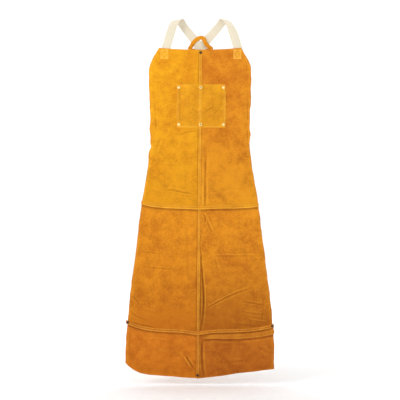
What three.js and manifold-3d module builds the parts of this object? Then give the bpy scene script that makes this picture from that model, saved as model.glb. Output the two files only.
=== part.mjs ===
// Leather welding apron, hung by its two crossed shoulder straps over a bar.
// Millimetres. X is across the apron, +Z is up, and the front faces -Y.
// The origin is the inside of the strap folds, where a bar or a wearer's shoulders carry the apron.
import * as THREE from 'three';
import { mergeVertices } from 'three/addons/utils/BufferGeometryUtils.js';
import Module from 'manifold-3d';

const wasm = await Module();
wasm.setup();

// Leather, from the top edge down. Widths are flat widths across the whole apron.
const LEATHER = 2;
const BAND_LEATHER = 1.6;
const BIB_TOP_WIDTH = 300;
const CHEST_WIDTH = 378;
const WAIST_WIDTH = 366;
const THIGH_WIDTH = 434;
const HEM_WIDTH = 542;
const DROP_TO_BIB = 113;
const TOP_EDGE_RISE = 7;
const ARMHOLE_DEPTH = 82;
const BIB_HEIGHT = 587;
const WAIST_BELOW_TOP = 345;
const SKIRT_HEIGHT = 460;
const HEM_HEIGHT = 160;
const THIGH_SEAM_RISE = { left: 17, right: 7 };
const THIGH_SEAM_DIP = 3;
const HEM_SEAM_RISE = { left: 34, right: 19 };
const HEM_SEAM_DIP = 8;
const SEAM_DIP_REACH = 40;
const HEM_CORNER_RISE = { left: 54, right: 34 };
const SEAM_TOP_X = 2.5;
const SEAM_LEAN = -11.5;
const CENTRE_STRIP_WIDTH = 11;
const SEAM_BAND_WIDTH = 14;

// Pocket, centred a little to the right of the middle.
const POCKET_WIDTH = 178;
const POCKET_HEIGHT = 158;
const POCKET_BELOW_TOP = 128;
const POCKET_SHIFT = 4;
const POCKET_FLANGE = 14;
const POCKET_BULGE = 9;

// Rivets: domed cap and shank at the front, flat ring at the back.
const RIVET_HEAD_RADIUS = 5.2;
const RIVET_HEAD_RISE = 2.2;
const RIVET_SHANK_RADIUS = 2;
const RIVET_RING_RADIUS = 4.6;
const RIVET_RING = 1;
const RIVET_TIP = 0.4;
const POCKET_RIVET_INSET = 11;
const TOP_RIVET_DROP = 11;
const HEM_RIVET_RISE = 11;
const EDGE_RIVET_INSET = 6;
const CENTRE_RIVET_SHIFT = 2;

// Webbing shoulder straps. x values are distances out from the middle.
const WEBBING = 2;
const WEBBING_WIDTH = 32;
const BAR_RADIUS = 18;
const STRAP_INSET = { left: 27, right: 12 };
const STRAP_LEAN = { left: 24, right: 26 };
const STRAP_FOLD_SHIFT = { left: 37, right: 41 };
const STRAP_SEWN_LENGTH = 36;
const CROSSING_X = 2;
const CROSSING_ABOVE_TOP = 10;
const STRAP_TAIL = 175;
const TAIL_TURN_RADIUS = 7;
const TAIL_RETURN = 24;

// Leather keeper that holds the crossed straps together.
const KEEPER_WIDTH = 15;
const KEEPER_HALF_SPAN = 41;
const KEEPER_RISE = 46;
const KEEPER_LAP = 24;

// Side-release buckles at the waist, and the webbing tabs that hold them.
const BUCKLE_INSET = 71;
const BUCKLE_STANDOFF = 9.8;
const BUCKLE_ABOVE_WAIST = 118;
const BUCKLE_RAIL = 4;
const BUCKLE_THICKNESS = 11;
const BUCKLE_WALL = 2.5;
const HOUSING_LENGTH = 36;
const BUCKLE_BAR = 3;
const CLIP_BODY_LENGTH = 10;
const PRONG_LENGTH = 26;
const PRONG_WIDTH = 5;
const PRONG_THICKNESS = 5;
const PRONG_HEAD = 3;
const TONGUE_LENGTH = 18;
const TONGUE_WIDTH = 6;
const TAB_LENGTH = 62;

// Clearances.
const GAP = 0.3;
const SEAM_GAP = 3;
const FOLD_CLEARANCE = 0.5;

// Heights and depths worked out from the sizes above.
const TOP_Z = -DROP_TO_BIB;
const THIGH_Z = TOP_Z - BIB_HEIGHT;
const HEM_Z = THIGH_Z - SKIRT_HEIGHT;
const BOTTOM_Z = HEM_Z - HEM_HEIGHT;
const STRAP_Y = -BAR_RADIUS - WEBBING / 2;
const PANEL_BACK = STRAP_Y - WEBBING / 2 - GAP;
const PANEL_FRONT = PANEL_BACK - LEATHER;
const BAND_BACK = PANEL_FRONT - GAP;
const BAND_FRONT = BAND_BACK - BAND_LEATHER;
const POCKET_BACK = PANEL_FRONT - GAP;
const POCKET_FRONT = POCKET_BACK - LEATHER;
const STRIP_RISE = BAND_LEATHER + GAP;
const CROSSING_Z = TOP_Z + CROSSING_ABOVE_TOP;
const BUCKLE_X = WAIST_WIDTH / 2 - BUCKLE_INSET;
const BUCKLE_Y = PANEL_BACK + BUCKLE_STANDOFF;
const SLOT_WIDTH = WEBBING_WIDTH + 2;
const BUCKLE_WIDTH = SLOT_WIDTH + 2 * BUCKLE_RAIL;
const SIDES = { left: -1, right: 1 };

const LEATHER_FINISH = { bib: 0xe79c26, skirt: 0xdb8524, hem: 0xc8732a, band: 0xeaa52e, keeper: 0xd98a1e };
const WEBBING_COLOUR = 0xf3e6cd;
const METAL_COLOUR = 0xd9c58f;
const PLASTIC_COLOUR = 0x191919;

const apron = new THREE.Group();

function addPiece(name, geometry, colour, roughness, metalness, parent = apron) {
  const material = new THREE.MeshStandardMaterial({ color: colour, roughness, metalness });
  const mesh = new THREE.Mesh(geometry, material);
  mesh.name = name;
  parent.add(mesh);
}

const addLeather = (name, geometry, colour) => addPiece(name, geometry, colour, 0.85, 0);
const addWebbing = (name, geometry) => addPiece(name, geometry, WEBBING_COLOUR, 0.9, 0);
const addMetal = (name, geometry) => addPiece(name, geometry, METAL_COLOUR, 0.25, 1);
const addPlastic = (name, geometry, parent) => addPiece(name, geometry, PLASTIC_COLOUR, 0.5, 0, parent);

// Booleans on closed geometries.
function toSolid(geometry) {
  const bare = geometry.clone();
  bare.deleteAttribute('normal');
  bare.deleteAttribute('uv');
  const merged = mergeVertices(bare, 1e-4);
  const vertProperties = new Float32Array(merged.attributes.position.array);
  const triVerts = new Uint32Array(merged.index.array);
  return new wasm.Manifold(new wasm.Mesh({ numProp: 3, vertProperties, triVerts }));
}

function toGeometry(solid) {
  const mesh = solid.getMesh();
  const geometry = new THREE.BufferGeometry();
  geometry.setAttribute('position', new THREE.BufferAttribute(new Float32Array(mesh.vertProperties), 3));
  geometry.setIndex(new THREE.BufferAttribute(new Uint32Array(mesh.triVerts), 1));
  geometry.computeVertexNormals();
  return geometry;
}

function cut(geometry, tools) {
  const solid = tools.reduce((rest, tool) => rest.subtract(toSolid(tool)), toSolid(geometry));
  return toGeometry(solid);
}

function join(geometries) {
  const [first, ...others] = geometries.map(toSolid);
  return toGeometry(others.reduce((whole, other) => whole.add(other), first));
}

function box(x, y, z, width, depth, height) {
  return new THREE.BoxGeometry(width, depth, height).translate(x, y, z);
}

// Outline of the apron. Each side edge runs through the stations from the top corner to the hem.
const SIDE_STATIONS = [
  [TOP_Z + TOP_EDGE_RISE, BIB_TOP_WIDTH / 2],
  [TOP_Z - ARMHOLE_DEPTH / 2, (BIB_TOP_WIDTH + 3 * CHEST_WIDTH) / 8 - 1],
  [TOP_Z - ARMHOLE_DEPTH, CHEST_WIDTH / 2],
  [TOP_Z - WAIST_BELOW_TOP, WAIST_WIDTH / 2],
  [THIGH_Z, THIGH_WIDTH / 2],
  [HEM_Z, HEM_WIDTH / 2],
  [BOTTOM_Z, HEM_WIDTH / 2],
];

function halfWidth(z) {
  const last = SIDE_STATIONS.length - 2;
  const below = SIDE_STATIONS.findIndex(([stationZ]) => stationZ < z);
  const index = below < 0 ? last : Math.max(below - 1, 0);
  const slope = (i) => {
    const a = SIDE_STATIONS[Math.max(i - 1, 0)];
    const b = SIDE_STATIONS[Math.min(i + 1, last + 1)];
    return (b[1] - a[1]) / (b[0] - a[0]);
  };
  const [z0, w0] = SIDE_STATIONS[index];
  const [z1, w1] = SIDE_STATIONS[index + 1];
  const span = z1 - z0;
  const t = THREE.MathUtils.clamp((z - z0) / span, 0, 1);
  const rise = t * t * (3 - 2 * t);
  const startPull = t * (1 - t) * (1 - t) * span * slope(index);
  const endPull = -t * t * (1 - t) * span * slope(index + 1);
  return w0 + (w1 - w0) * rise + startPull + endPull;
}

const seamX = (z) => SEAM_TOP_X + SEAM_LEAN * (TOP_Z - z) / (TOP_Z - BOTTOM_Z);
const topEdge = (x) => TOP_Z + TOP_EDGE_RISE * (x / (BIB_TOP_WIDTH / 2)) ** 2;

// A cross seam is lowest at the centre seam, runs nearly level and rises again towards its two ends.
function crossSeam(x, z, width, dip, rise) {
  const fromCentre = 1 - Math.exp(-(((x - seamX(z)) / SEAM_DIP_REACH) ** 2));
  const end = x < 0 ? rise.left : rise.right;
  return z + dip * fromCentre + end * (x / (width / 2)) ** 4;
}

const thighSeam = (x) => crossSeam(x, THIGH_Z, THIGH_WIDTH, THIGH_SEAM_DIP, THIGH_SEAM_RISE);
const hemSeam = (x) => crossSeam(x, HEM_Z, HEM_WIDTH, HEM_SEAM_DIP, HEM_SEAM_RISE);

function bottomEdge(x) {
  const share = Math.abs(x / (HEM_WIDTH / 2));
  const level = HEM_CORNER_RISE.right * share / 2;
  const right = HEM_CORNER_RISE.right * share;
  const left = level + (HEM_CORNER_RISE.left - HEM_CORNER_RISE.right / 2) * share ** 8;
  return BOTTOM_Z + (x < 0 ? left : right);
}

// A flat plate from an outline in X and Z, its back face at backY.
function plate(points, backY, thickness) {
  const shape = new THREE.Shape(points.map(([x, z]) => new THREE.Vector2(x, z)));
  const geometry = new THREE.ExtrudeGeometry(shape, { depth: thickness, bevelEnabled: false });
  return geometry.rotateX(Math.PI / 2).translate(0, backY, 0);
}

function range(from, to, steps) {
  return Array.from({ length: steps + 1 }, (_, i) => from + (to - from) * i / steps);
}

// Where an edge curve meets the side of the apron.
function sideEnd(side, edge) {
  const solve = (x) => SIDES[side] * halfWidth(edge(x));
  return range(0, 1, 12).reduce((x) => solve(x), SIDES[side] * HEM_WIDTH / 2);
}

function panel(side, upper, lower) {
  const sign = SIDES[side];
  const upperEnd = sideEnd(side, upper);
  const lowerEnd = sideEnd(side, lower);
  const upperStart = seamX(upper(0)) + sign * GAP;
  const lowerStart = seamX(lower(0)) + sign * GAP;
  const across = range(upperStart, upperEnd, 14).map((x) => [x, upper(x)]);
  const down = range(upper(upperEnd), lower(lowerEnd), 18).slice(1, -1).map((z) => [sign * halfWidth(z), z]);
  const back = range(lowerEnd, lowerStart, 14).map((x) => [x, lower(x)]);
  const points = [...across, ...down, ...back];
  return plate(sign > 0 ? points.reverse() : points, PANEL_BACK, LEATHER);
}

function centreStrip(topZ, bottomZ) {
  const half = CENTRE_STRIP_WIDTH / 2;
  const points = [
    [seamX(bottomZ) - half, bottomZ],
    [seamX(bottomZ) + half, bottomZ],
    [seamX(topZ) + half, topZ],
    [seamX(topZ) - half, topZ],
  ];
  return plate(points, BAND_BACK, BAND_LEATHER);
}

// A band along a seam, its lower edge on the seam line.
function seamBand(edge, reach) {
  const lower = range(-reach, reach, 28).map((x) => [x, edge(x)]);
  const upper = range(reach, -reach, 28).map((x) => [x, edge(x) + SEAM_BAND_WIDTH]);
  return plate([...lower, ...upper], BAND_BACK, BAND_LEATHER);
}

// Rivets. Each one states its place and the depth of the leather that it goes through.
const pocketTop = TOP_Z - POCKET_BELOW_TOP;
const pocketBottom = pocketTop - POCKET_HEIGHT;
const hemRivetX = HEM_WIDTH / 2 - EDGE_RIVET_INSET;

const rivets = [];

function addRivet(name, x, z, frontY) {
  rivets.push({ name, x, z, frontY });
}

const pocketRows = { top: pocketTop - POCKET_RIVET_INSET, bottom: pocketBottom + POCKET_RIVET_INSET };

for (const [row, z] of Object.entries(pocketRows)) {
  const reach = POCKET_WIDTH / 2 - POCKET_FLANGE / 2;
  addRivet(`pocket_${row}_left`, POCKET_SHIFT - reach, z, POCKET_FRONT);
  addRivet(`pocket_${row}_centre`, seamX(z) + CENTRE_RIVET_SHIFT, z, POCKET_FRONT - STRIP_RISE);
  addRivet(`pocket_${row}_right`, POCKET_SHIFT + reach, z, POCKET_FRONT);
}
addRivet('bib_top', seamX(TOP_Z), TOP_Z - TOP_RIVET_DROP, BAND_FRONT);
addRivet('hem_bottom', seamX(BOTTOM_Z), BOTTOM_Z + HEM_RIVET_RISE, BAND_FRONT);
for (const side of Object.keys(SIDES)) {
  const x = SIDES[side] * hemRivetX;
  addRivet(`hem_seam_${side}`, x, hemSeam(x) + SEAM_BAND_WIDTH / 2, BAND_FRONT);
}

function shankHole(rivet) {
  const hole = new THREE.CylinderGeometry(RIVET_SHANK_RADIUS + GAP, RIVET_SHANK_RADIUS + GAP, 30, 16);
  return hole.translate(rivet.x, PANEL_FRONT, rivet.z);
}

function drill(geometry, groups) {
  const inGroups = ({ name }) => groups.some((group) => name.startsWith(group));
  return cut(geometry, rivets.filter(inGroups).map(shankHole));
}

function rivetCap({ x, z, frontY }) {
  const under = -frontY + GAP;
  const tip = -PANEL_BACK - GAP - RIVET_RING - RIVET_TIP;
  const dome = range(0, 1, 5).map((t) => new THREE.Vector2(
    RIVET_HEAD_RADIUS * Math.cos(t * Math.PI / 2),
    under + 0.5 + (RIVET_HEAD_RISE - 0.5) * Math.sin(t * Math.PI / 2),
  ));
  const profile = [
    new THREE.Vector2(0, tip),
    new THREE.Vector2(RIVET_SHANK_RADIUS, tip),
    new THREE.Vector2(RIVET_SHANK_RADIUS, under),
    new THREE.Vector2(RIVET_HEAD_RADIUS, under),
    ...dome,
  ];
  profile[profile.length - 1].x = 0;
  return new THREE.LatheGeometry(profile, 20).rotateX(Math.PI).translate(x, 0, z);
}

function rivetRing({ x, z }) {
  const bore = RIVET_SHANK_RADIUS + GAP;
  const near = -PANEL_BACK - GAP;
  const far = near - RIVET_RING;
  const edge = RIVET_RING_RADIUS;
  const profile = [[bore, far], [edge, far], [edge, near], [bore, near], [bore, far]];
  const points = profile.map(([radius, depth]) => new THREE.Vector2(radius, depth));
  return new THREE.LatheGeometry(points, 20).rotateX(Math.PI).translate(x, 0, z);
}

for (const rivet of rivets) {
  addMetal(`${rivet.name}_rivet`, rivetCap(rivet));
  addMetal(`${rivet.name}_rivet_ring`, rivetRing(rivet));
}

// Panels, strips and bands.
const belowThigh = (x) => thighSeam(x) - SEAM_GAP;
const belowHem = (x) => hemSeam(x) - SEAM_GAP;

for (const side of Object.keys(SIDES)) {
  const bib = panel(side, topEdge, thighSeam);
  addLeather(`bib_${side}_panel`, drill(bib, ['pocket', 'bib']), LEATHER_FINISH.bib);
  const skirt = panel(side, belowThigh, hemSeam);
  addLeather(`skirt_${side}_panel`, drill(skirt, [`hem_seam_${side}`]), LEATHER_FINISH.skirt);
  const hem = panel(side, belowHem, bottomEdge);
  addLeather(`hem_${side}_panel`, drill(hem, ['hem_bottom']), LEATHER_FINISH.hem);
}

const aboveBand = (seam, z) => seam(seamX(z) - CENTRE_STRIP_WIDTH) + SEAM_BAND_WIDTH + GAP;
const bibStrip = drill(centreStrip(TOP_Z, aboveBand(thighSeam, THIGH_Z)), ['bib', 'pocket']);
const skirtStrip = centreStrip(THIGH_Z - 2 * SEAM_GAP, aboveBand(hemSeam, HEM_Z));
const hemStrip = drill(centreStrip(HEM_Z - 2 * SEAM_GAP, BOTTOM_Z + 1), ['hem_bottom']);
addLeather('bib_centre_strip', bibStrip, LEATHER_FINISH.band);
addLeather('skirt_centre_strip', skirtStrip, LEATHER_FINISH.band);
addLeather('hem_centre_strip', hemStrip, LEATHER_FINISH.band);
addLeather('thigh_seam_band', seamBand(thighSeam, THIGH_WIDTH / 2 - 2), LEATHER_FINISH.band);
addLeather('hem_seam_band', drill(seamBand(hemSeam, HEM_WIDTH / 2 - 0.5), ['hem_seam']), LEATHER_FINISH.band);

// Pocket: one sheet with two compartments that stand open at the mouth.
function pocketSheet() {
  const sheet = new THREE.BoxGeometry(POCKET_WIDTH, LEATHER, POCKET_HEIGHT, 48, 1, 8);
  const points = sheet.attributes.position;
  const room = POCKET_WIDTH / 2 - 1.5 * POCKET_FLANGE;
  for (let i = 0; i < points.count; i += 1) {
    const across = Math.abs(points.getX(i)) - POCKET_FLANGE / 2;
    const up = (points.getZ(i) + POCKET_HEIGHT / 2 - POCKET_FLANGE) / (POCKET_HEIGHT - POCKET_FLANGE);
    const share = THREE.MathUtils.clamp(across / room, 0, 1);
    const crown = Math.max(Math.sin(Math.PI * share), 0) ** 0.75;
    const opening = Math.sqrt(THREE.MathUtils.clamp(up, 0, 1));
    const overStrip = THREE.MathUtils.clamp(2 - Math.abs(points.getX(i)) / POCKET_FLANGE, 0, 1);
    const standOff = Math.max(POCKET_BULGE * crown * opening, STRIP_RISE * overStrip);
    points.setY(i, points.getY(i) - standOff);
  }
  sheet.translate(POCKET_SHIFT, POCKET_BACK - LEATHER / 2, (pocketTop + pocketBottom) / 2);
  return drill(sheet, ['pocket']);
}

addLeather('pocket_panel', pocketSheet(), LEATHER_FINISH.bib);

// A flat strip swept through stations that each hold a point and the direction of the strip's width.
class StripPath extends THREE.Curve {
  constructor(stations) {
    super();
    this.stations = stations;
  }

  getSpacedPoints() {
    return this.stations.map(({ point }) => point.clone());
  }

  computeFrenetFrames() {
    const tangents = this.stations.map((_, i) => {
      const before = this.stations[Math.max(i - 1, 0)].point;
      const after = this.stations[Math.min(i + 1, this.stations.length - 1)].point;
      return after.clone().sub(before).normalize();
    });
    const normals = this.stations.map(({ width }, i) => {
      const along = tangents[i].clone().multiplyScalar(width.dot(tangents[i]));
      return width.clone().sub(along).normalize();
    });
    const binormals = tangents.map((tangent, i) => tangent.clone().cross(normals[i]));
    return { tangents, normals, binormals };
  }
}

function strip(stations, width, thickness) {
  const section = new THREE.Shape([
    new THREE.Vector2(-width / 2, -thickness / 2),
    new THREE.Vector2(width / 2, -thickness / 2),
    new THREE.Vector2(width / 2, thickness / 2),
    new THREE.Vector2(-width / 2, thickness / 2),
  ]);
  const extrudePath = new StripPath(stations);
  return new THREE.ExtrudeGeometry(section, { steps: stations.length - 1, extrudePath, bevelEnabled: false });
}

// Stations spread evenly along a smooth curve, with the width turning between the given directions.
function curveStations(points, widths, steps) {
  const curve = new THREE.CatmullRomCurve3(points, false, 'centripetal');
  return range(0, 1, steps).map((u) => {
    const place = curve.getUtoTmapping(u) * (points.length - 1);
    const index = Math.min(Math.floor(place), points.length - 2);
    const width = widths[index].clone().lerp(widths[index + 1], place - index);
    return { point: curve.getPointAt(u), width };
  });
}

// The crossed straps lie in one leaning plane, from the back of the bar to the buckles.
const buckleZ = TOP_Z - WAIST_BELOW_TOP + BUCKLE_ABOVE_WAIST;
const strapLoadY = BUCKLE_Y - BUCKLE_BAR / 2 - WEBBING / 2 - FOLD_CLEARANCE;
const backSlope = (BAR_RADIUS + WEBBING / 2 - strapLoadY) / (-BAR_RADIUS - buckleZ);
const backY = (z) => BAR_RADIUS + WEBBING / 2 + backSlope * (z + BAR_RADIUS);
const crossingGap = (WEBBING + FOLD_CLEARANCE) / 2;

// The frame of one buckle: local -Z runs down the strap, local Y is away from the bib.
const strapAngle = Math.atan2(BUCKLE_X, CROSSING_Z - buckleZ);

function buckleFrame(side) {
  const frame = new THREE.Group();
  frame.position.set(SIDES[side] * BUCKLE_X, BUCKLE_Y, buckleZ);
  frame.rotation.y = -SIDES[side] * strapAngle;
  frame.updateMatrixWorld(true);
  return frame;
}

function shoulderStrap(side) {
  const out = SIDES[side];
  const far = side === 'left' ? 'right' : 'left';
  const frame = buckleFrame(far);
  const local = (x, y, z) => frame.localToWorld(new THREE.Vector3(x, y, z));
  const across = (angle) => new THREE.Vector3(out * Math.cos(angle), 0, -Math.sin(angle));
  const acrossBack = (angle) => across(angle).setY(-backSlope * Math.sin(angle));
  const anchorX = BIB_TOP_WIDTH / 2 - STRAP_INSET[side];
  const foldFrontX = anchorX - STRAP_LEAN[side];
  const foldBackX = foldFrontX - STRAP_FOLD_SHIFT[side];
  const lean = Math.atan2(STRAP_LEAN[side], -CROSSING_Z - BAR_RADIUS);
  const frontX = (z) => foldFrontX + Math.tan(lean) * (-BAR_RADIUS - z);
  const frontWidth = across(-lean);
  const crossX = out * CROSSING_X;
  const backLean = Math.atan2(foldBackX - crossX, -BAR_RADIUS - CROSSING_Z);
  const backWidth = acrossBack(backLean);
  const layer = side === 'left' ? -crossingGap : crossingGap;
  const sewnZ = TOP_Z + TOP_EDGE_RISE - STRAP_SEWN_LENGTH;
  const frontArm = range(sewnZ, -BAR_RADIUS - 6, 5).map((z) => ({
    point: new THREE.Vector3(out * frontX(z), STRAP_Y, z),
    width: frontWidth,
  }));
  const fold = range(0, 1, 12).map((t) => {
    const radius = BAR_RADIUS + WEBBING / 2;
    const x = THREE.MathUtils.lerp(foldFrontX, foldBackX, t);
    const y = -radius * Math.cos(Math.PI * t);
    const z = -BAR_RADIUS + radius * Math.sin(Math.PI * t);
    const width = frontWidth.clone().multiplyScalar(1 - t).add(backWidth.clone().multiplyScalar(t));
    width.z *= Math.abs(Math.cos(Math.PI * t));
    return { point: new THREE.Vector3(out * x, y, z), width };
  });
  const crossing = new THREE.Vector3(CROSSING_X, backY(CROSSING_Z) + layer, CROSSING_Z);
  const alongBack = (distance) => new THREE.Vector3(
    crossing.x + out * Math.sin(backLean) * distance,
    backY(CROSSING_Z + Math.cos(backLean) * distance) + layer,
    CROSSING_Z + Math.cos(backLean) * distance,
  );
  const loadWidth = across(strapAngle);
  const lowerWidth = acrossBack(strapAngle);
  const load = -BUCKLE_BAR / 2 - WEBBING / 2 - FOLD_CLEARANCE;
  const lowest = local(0, load, 16);
  const layerShift = new THREE.Vector3(0, layer, 0);
  const toBuckle = (share) => crossing.clone().lerp(lowest.clone().add(layerShift), share);
  const aboveCrossing = [92, 60, 28].map(alongBack);
  const belowCrossing = [0.12, 0.5, 0.94].map(toBuckle);
  const backArm = curveStations(
    [...aboveCrossing, ...belowCrossing, local(0, load, 5)],
    [backWidth, backWidth, backWidth, lowerWidth, lowerWidth, lowerWidth, loadWidth],
    34,
  );
  const wrap = range(0, 1, 8).map((t) => ({
    point: local(0, load * Math.cos(Math.PI * t), load * Math.sin(Math.PI * t)),
    width: loadWidth,
  }));
  const onReturn = (z) => ({ point: local(0, -load, z), width: loadWidth });
  const back = [TAIL_RETURN / 3, TAIL_RETURN * 2 / 3].map(onReturn);
  const turn = range(0, Math.PI, 8).map((angle) => {
    const away = -load + TAIL_TURN_RADIUS * (1 - Math.cos(angle));
    return { point: local(0, away, TAIL_RETURN + TAIL_TURN_RADIUS * Math.sin(angle)), width: loadWidth };
  });
  const hang = -load + 2 * TAIL_TURN_RADIUS;
  const hangY = BUCKLE_Y + hang;
  const hangStart = local(0, 0, -38);
  const down = new THREE.Vector3(out, 0, 0);
  const tail = curveStations(
    [local(0, hang, TAIL_RETURN - 6), local(0, hang, 0), hangStart.setY(hangY),
      new THREE.Vector3(hangStart.x - out * 8, hangY, hangStart.z - 40),
      new THREE.Vector3(hangStart.x - out * 10, hangY, hangStart.z - 100),
      new THREE.Vector3(hangStart.x - out * 10, hangY, hangStart.z - STRAP_TAIL)],
    [loadWidth, loadWidth, loadWidth, down, down, down],
    16,
  );
  const stations = [...frontArm, ...fold, ...backArm, ...wrap, ...back, ...turn, ...tail];
  return strip(stations, WEBBING_WIDTH, WEBBING);
}

for (const side of Object.keys(SIDES)) {
  addWebbing(`shoulder_strap_${side}`, shoulderStrap(side));
}

// Keeper: a strip that arches over the front of the crossing and laps behind it. Each station gives its
// share of the half span, its depth, its height above the crossing and how far the strip's width leans out.
function keeper() {
  const reach = (WEBBING + BAND_LEATHER) / 2 + FOLD_CLEARANCE;
  const front = -crossingGap - reach;
  const back = crossingGap + reach;
  const turn = (front + back) / 2;
  const lapped = back + BAND_LEATHER + GAP;
  const low = -8;
  const lapShare = KEEPER_LAP / 2 / KEEPER_HALF_SPAN;
  const arch = [
    [-1.02, turn, low + 3, -0.6], [-0.85, front, low + 10, -1.04], [-0.5, front, KEEPER_RISE * 0.55, -0.93],
    [-0.2, front, KEEPER_RISE * 0.92, -0.35], [0.2, front, KEEPER_RISE * 0.92, 0.35],
    [0.5, front, KEEPER_RISE * 0.55, 0.93], [0.85, front, low + 10, 1.04], [1.02, turn, low + 3, 0.6],
  ];
  const route = [
    [lapShare, lapped, low, 0], [-0.4, lapped - 0.4, low, 0], [-0.85, back, low, -0.2],
    ...arch,
    [0.85, back, low, 0.2], [0.4, back, low, 0], [-lapShare, back, low, 0],
  ];
  const points = route.map(([share, depth, rise]) => new THREE.Vector3(
    CROSSING_X + share * KEEPER_HALF_SPAN,
    backY(CROSSING_Z + rise) + depth,
    CROSSING_Z + rise,
  ));
  const widths = route.map(([, , , lean]) => new THREE.Vector3(
    Math.sin(lean),
    backSlope * Math.cos(lean),
    Math.cos(lean),
  ));
  return strip(curveStations(points, widths, 72), KEEPER_WIDTH, BAND_LEATHER);
}

addLeather('keeper_loop', keeper(), LEATHER_FINISH.keeper);

// Buckle pieces, in the buckle's frame: the strap's bar is at the local origin.
const bodyTop = -BUCKLE_BAR / 2 - WEBBING - 2 * FOLD_CLEARANCE;
const bodyBottom = bodyTop - CLIP_BODY_LENGTH;
const prongTop = bodyBottom - 3 * GAP;
const housingTop = bodyBottom + 1;
const mouthGap = FOLD_CLEARANCE;
const housingBottom = housingTop - HOUSING_LENGTH;
const slotHeight = WEBBING + 2 * FOLD_CLEARANCE;
const railX = (BUCKLE_WIDTH - BUCKLE_RAIL) / 2;
const tabBarZ = housingBottom - slotHeight - BUCKLE_BAR / 2;
const cavityWidth = BUCKLE_WIDTH - 2 * BUCKLE_WALL;
const cavityThickness = PRONG_THICKNESS + 2 * FOLD_CLEARANCE;

function buckleBar(z) {
  const bar = new THREE.CylinderGeometry(BUCKLE_BAR / 2, BUCKLE_BAR / 2, BUCKLE_WIDTH - 1, 12);
  return bar.rotateZ(Math.PI / 2).translate(0, 0, z);
}

function clip() {
  const neckWidth = cavityWidth - 2 * mouthGap;
  const railTop = BUCKLE_BAR / 2;
  const rail = (x) => box(x, 0, (railTop + bodyTop - 1) / 2, BUCKLE_RAIL, BUCKLE_BAR, railTop - bodyTop + 1);
  const shoulderBottom = housingTop + GAP;
  const shoulderHeight = bodyTop - shoulderBottom;
  const shoulders = box(0, 0, bodyTop - shoulderHeight / 2, BUCKLE_WIDTH, PRONG_THICKNESS, shoulderHeight);
  const neck = box(0, 0, (bodyTop + bodyBottom) / 2 - 1, neckWidth, PRONG_THICKNESS, CLIP_BODY_LENGTH - 2);
  const bar = buckleBar(0);
  const tongueZ = bodyBottom - TONGUE_LENGTH / 2 + 1;
  const tongue = box(0, 0, tongueZ, TONGUE_WIDTH, PRONG_THICKNESS, TONGUE_LENGTH + 2);
  return join([shoulders, neck, bar, rail(-railX), rail(railX), tongue]);
}

function prong(sign) {
  const outer = cavityWidth / 2 - mouthGap;
  const inner = outer - PRONG_WIDTH;
  const bottom = prongTop - PRONG_LENGTH;
  const outline = [
    [outer - 1, prongTop], [outer, prongTop - 2], [outer, bottom + 2], [outer - 2, bottom],
    [inner - PRONG_HEAD, bottom], [inner - PRONG_HEAD, bottom + 6], [inner, bottom + 9], [inner, prongTop],
  ].map(([x, z]) => [sign * x, z]);
  return plate(sign < 0 ? outline : outline.reverse(), PRONG_THICKNESS / 2, PRONG_THICKNESS);
}

function housing() {
  const middle = (housingTop + housingBottom) / 2;
  const windowHeight = HOUSING_LENGTH * 0.45;
  const shell = box(0, 0, middle, BUCKLE_WIDTH, BUCKLE_THICKNESS, HOUSING_LENGTH);
  const cavityLength = HOUSING_LENGTH - BUCKLE_WALL;
  const cavity = box(0, 0, housingTop - cavityLength / 2 + 0.5, cavityWidth, cavityThickness, cavityLength + 1);
  const windows = box(0, 0, middle - 3, BUCKLE_WIDTH + 2, cavityThickness, windowHeight);
  const railHeight = slotHeight + BUCKLE_BAR;
  const rail = (x) => box(x, 0, housingBottom - railHeight / 2 + 0.5, BUCKLE_RAIL, BUCKLE_BAR, railHeight + 1);
  const bar = buckleBar(tabBarZ);
  return join([cut(shell, [cavity, windows]), rail(-railX), rail(railX), bar]);
}

// Tab: webbing doubled round the housing's bar, both ends flat against the back of the bib.
function waistTab(side) {
  const frame = buckleFrame(side);
  const local = (y, z) => frame.localToWorld(new THREE.Vector3(0, y, z));
  const width = new THREE.Vector3(1, 0, 0).applyQuaternion(frame.quaternion);
  const near = PANEL_BACK + GAP + WEBBING / 2 - BUCKLE_Y;
  const second = near + WEBBING + GAP;
  const wrapRadius = BUCKLE_BAR / 2 + WEBBING / 2 + FOLD_CLEARANCE;
  const end = tabBarZ - TAB_LENGTH;
  const station = ([y, z]) => ({ point: local(y, z), width });
  const first = [
    [near, end], [near, tabBarZ - 24], [near + 0.6, tabBarZ - 19],
    [-wrapRadius - 0.6, tabBarZ - 8], [-wrapRadius, tabBarZ - 3],
  ];
  const wrap = range(0, 1, 8).map((t) => [
    -wrapRadius * Math.cos(Math.PI * t),
    tabBarZ + wrapRadius * Math.sin(Math.PI * t),
  ]);
  const last = [
    [wrapRadius, tabBarZ - 3], [wrapRadius - 0.6, tabBarZ - 8],
    [second + 0.6, tabBarZ - 27], [second, tabBarZ - 32], [second, end + 8],
  ];
  return strip([...first, ...wrap, ...last].map(station), WEBBING_WIDTH, WEBBING);
}

for (const side of Object.keys(SIDES)) {
  const frame = buckleFrame(side);
  apron.add(frame);
  addPlastic(`buckle_housing_${side}`, housing(), frame);
  addPlastic(`buckle_clip_${side}`, clip(), frame);
  addPlastic(`buckle_prong_${side}_inner`, prong(-SIDES[side]), frame);
  addPlastic(`buckle_prong_${side}_outer`, prong(SIDES[side]), frame);
  addWebbing(`waist_tab_${side}`, waistTab(side));
}

export default apron;
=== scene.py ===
from math import atan2, cos, hypot, pi, radians, sin, tan

import bpy
import numpy as np
from mathutils import Matrix, Vector


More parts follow.
